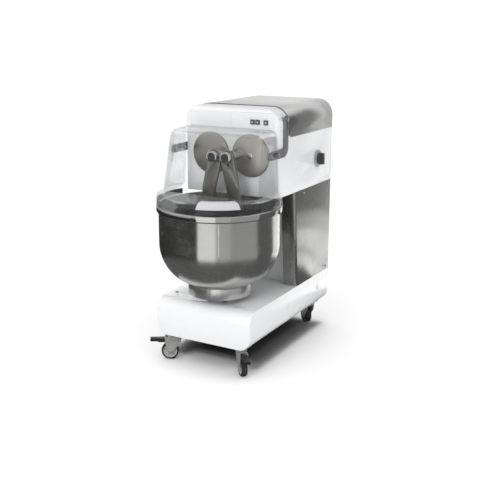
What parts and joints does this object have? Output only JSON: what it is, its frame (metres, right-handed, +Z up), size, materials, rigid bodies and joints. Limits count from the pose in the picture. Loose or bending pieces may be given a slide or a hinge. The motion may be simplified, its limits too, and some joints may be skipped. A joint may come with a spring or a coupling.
{
  "type": "twin-arm dough mixer",
  "caption": "Floor-standing dough mixer on castors: turning steel bowl, counter-rotating crank discs with diving arms, clear hinged guard, painted base and head.",
  "frame": {"origin": "on the floor under the middle of the plan outline, guard skirt to cable gland", "axes": "+Z up, +X to the operator's right when facing the rear, -Y towards the operator (front of the bowl)"},
  "size_m": [0.562, 0.9759, 1.15],
  "materials": {
    "white_paint": "semi-gloss white powder coat",
    "brushed_stainless": "vertical brushed stainless sheet",
    "bowl_stainless": "spun and polished stainless",
    "arm_steel": "satin stainless",
    "polished_steel": "polished",
    "machined_steel": "turned steel",
    "frame_paint": "dark grey primer",
    "bracket_grey": "dark grey satin paint",
    "cast_alloy": "as cast",
    "motor_paint": "blue-grey enamel",
    "zinc_steel": "zinc plated",
    "black_rubber": "moulded",
    "wheel_rubber": "moulded",
    "clear_plastic": "clear polycarbonate",
    "black_plastic": "moulded",
    "grey_plastic": "moulded",
    "panel_film": "printed film",
    "button_plastic": "moulded",
    "plug_plastic": "moulded"
  },
  "bodies": {
    "machine": {"base_shell": "white_paint", "chassis_frame": "frame_paint", "column_front_panel": "white_paint", "right_side_cover": "brushed_stainless", "left_side_cover": "brushed_stainless", "rear_cover": "brushed_stainless", "head_shell": "white_paint", "top_cover": "brushed_stainless", "control_panel": "panel_film", "control_box": "grey_plastic", "knob_plate": "grey_plastic", "cover_screws": "polished_steel", "hole_plugs": "plug_plastic", "cable_gland": "black_plastic", "gearmotor": "motor_paint", "arm_belt": "black_rubber", "bowl_belt": "black_rubber", "gearbox_case": "cast_alloy", "crank_bearings": "machined_steel", "bowl_reducer": "cast_alloy", "bowl_bearing": "white_paint", "castor_plates": "zinc_steel", "guard_pivots": "polished_steel"},
    "start_button": {"start_button": "button_plastic"},
    "stop_button": {"stop_button": "button_plastic"},
    "speed_button": {"speed_button": "button_plastic"},
    "selector_knob": {"selector_knob": "black_plastic"},
    "motor_pulley": {"motor_pulley": "cast_alloy"},
    "left_crank": {"left_crank_shaft": "machined_steel", "left_crank_gear": "machined_steel", "crank_pulley": "cast_alloy", "left_crank_disc": "arm_steel", "left_crank_pin": "polished_steel"},
    "right_crank": {"right_crank_shaft": "machined_steel", "right_crank_gear": "machined_steel", "right_crank_disc": "arm_steel", "right_crank_pin": "polished_steel"},
    "left_arm": {"left_arm_hub": "polished_steel", "left_arm": "arm_steel"},
    "right_arm": {"right_arm_hub": "polished_steel", "right_arm": "arm_steel"},
    "bowl": {"bowl": "bowl_stainless", "bowl_foot": "bowl_stainless", "bowl_spindle": "machined_steel"},
    "worm_shaft": {"worm_shaft": "machined_steel"},
    "guard": {"guard_shield": "clear_plastic", "guard_brackets": "bracket_grey", "guard_rivets": "polished_steel", "guard_seal": "black_rubber"},
    "front_left_castor": {"front_left_fork": "zinc_steel"},
    "front_left_wheel": {"front_left_wheel": "wheel_rubber"},
    "front_right_castor": {"front_right_fork": "zinc_steel"},
    "front_right_wheel": {"front_right_wheel": "wheel_rubber"},
    "rear_left_castor": {"rear_left_fork": "zinc_steel"},
    "rear_left_wheel": {"rear_left_wheel": "wheel_rubber"},
    "rear_right_castor": {"rear_right_fork": "zinc_steel"},
    "rear_right_wheel": {"rear_right_wheel": "wheel_rubber"},
    "left_brake_pedal": {"left_brake_pedal": "black_plastic"},
    "right_brake_pedal": {"right_brake_pedal": "black_plastic"}
  },
  "joints": [
    {"name": "start_button_press", "type": "slide", "parent": "machine", "child": "start_button", "axis": [0, 1, 0], "range_m": [0, 0.0025], "stiffness_N_per_m": 400, "springref_m": -0.001},
    {"name": "stop_button_press", "type": "slide", "parent": "machine", "child": "stop_button", "axis": [0, 1, 0], "range_m": [0, 0.0025], "stiffness_N_per_m": 400, "springref_m": -0.001},
    {"name": "speed_button_press", "type": "slide", "parent": "machine", "child": "speed_button", "axis": [0, 1, 0], "range_m": [0, 0.0025], "stiffness_N_per_m": 400, "springref_m": -0.001},
    {"name": "selector_turn", "type": "hinge", "parent": "machine", "child": "selector_knob", "pos_m": [0.24, 0.3, 0.881], "axis": [1, 0, 0], "range_deg": [0, 90]},
    {"name": "left_crank_turn", "type": "hinge", "parent": "machine", "child": "left_crank", "pos_m": [-0.102, -0.117, 0.937], "axis": [0, 1, 0], "continuous": true},
    {"name": "right_crank_turn", "type": "hinge", "parent": "machine", "child": "right_crank", "pos_m": [0.102, -0.117, 0.937], "axis": [0, 1, 0], "continuous": true},
    {"name": "left_arm_swing", "type": "hinge", "parent": "left_crank", "child": "left_arm", "pos_m": [-0.034, -0.192, 0.937], "axis": [0, 1, 0], "continuous": true},
    {"name": "right_arm_swing", "type": "hinge", "parent": "right_crank", "child": "right_arm", "pos_m": [0.034, -0.192, 0.937], "axis": [0, 1, 0], "continuous": true},
    {"name": "motor_pulley_turn", "type": "hinge", "parent": "machine", "child": "motor_pulley", "pos_m": [-0.05, 0.179, 0.54], "axis": [0, 1, 0], "continuous": true},
    {"name": "worm_shaft_turn", "type": "hinge", "parent": "machine", "child": "worm_shaft", "pos_m": [0.055, 0.157, 0.205], "axis": [0, 1, 0], "continuous": true},
    {"name": "bowl_turn", "type": "hinge", "parent": "machine", "child": "bowl", "pos_m": [0, -0.207, 0.365], "axis": [0, 0, 1], "continuous": true},
    {"name": "guard_hinge", "type": "hinge", "parent": "machine", "child": "guard", "pos_m": [0, -0.05, 1.1], "axis": [-1, 0, 0], "range_deg": [0, 50]},
    {"name": "front_left_swivel", "type": "hinge", "parent": "machine", "child": "front_left_castor", "pos_m": [-0.168, -0.314, 0.11], "axis": [0, 0, 1], "continuous": true},
    {"name": "front_left_roll", "type": "hinge", "parent": "front_left_castor", "child": "front_left_wheel", "pos_m": [-0.19683, -0.33202, 0.04], "axis": [0.5299, -0.848, 0], "continuous": true},
    {"name": "front_right_swivel", "type": "hinge", "parent": "machine", "child": "front_right_castor", "pos_m": [0.168, -0.314, 0.11], "axis": [0, 0, 1], "continuous": true},
    {"name": "front_right_roll", "type": "hinge", "parent": "front_right_castor", "child": "front_right_wheel", "pos_m": [0.19162, -0.33846, 0.04], "axis": [0.7193, 0.6947, 0], "continuous": true},
    {"name": "rear_left_swivel", "type": "hinge", "parent": "machine", "child": "rear_left_castor", "pos_m": [-0.168, 0.398, 0.11], "axis": [0, 0, 1], "continuous": true},
    {"name": "rear_left_roll", "type": "hinge", "parent": "rear_left_castor", "child": "rear_left_wheel", "pos_m": [-0.19745, 0.415, 0.04], "axis": [-0.5, -0.866, 0], "continuous": true},
    {"name": "rear_right_swivel", "type": "hinge", "parent": "machine", "child": "rear_right_castor", "pos_m": [0.168, 0.398, 0.11], "axis": [0, 0, 1], "continuous": true},
    {"name": "rear_right_roll", "type": "hinge", "parent": "rear_right_castor", "child": "rear_right_wheel", "pos_m": [0.14195, 0.41985, 0.04], "axis": [-0.6428, -0.766, 0], "continuous": true},
    {"name": "left_brake_press", "type": "hinge", "parent": "front_left_castor", "child": "left_brake_pedal", "pos_m": [-0.20871, -0.33944, 0.094], "axis": [0.5299, -0.848, 0], "range_deg": [0, 12]},
    {"name": "right_brake_press", "type": "hinge", "parent": "front_right_castor", "child": "right_brake_pedal", "pos_m": [0.20134, -0.34853, 0.094], "axis": [0.7193, 0.6947, 0], "range_deg": [0, 12]}
  ],
  "couplings": [
    {"joint": "right_crank_turn", "follows": "left_crank_turn", "ratio": -1},
    {"joint": "left_arm_swing", "follows": "left_crank_turn", "ratio": -1},
    {"joint": "right_arm_swing", "follows": "left_crank_turn", "ratio": 1},
    {"joint": "motor_pulley_turn", "follows": "left_crank_turn", "ratio": 2.284},
    {"joint": "worm_shaft_turn", "follows": "left_crank_turn", "ratio": 1.6372},
    {"joint": "bowl_turn", "follows": "left_crank_turn", "ratio": 0.16372}
  ]
}
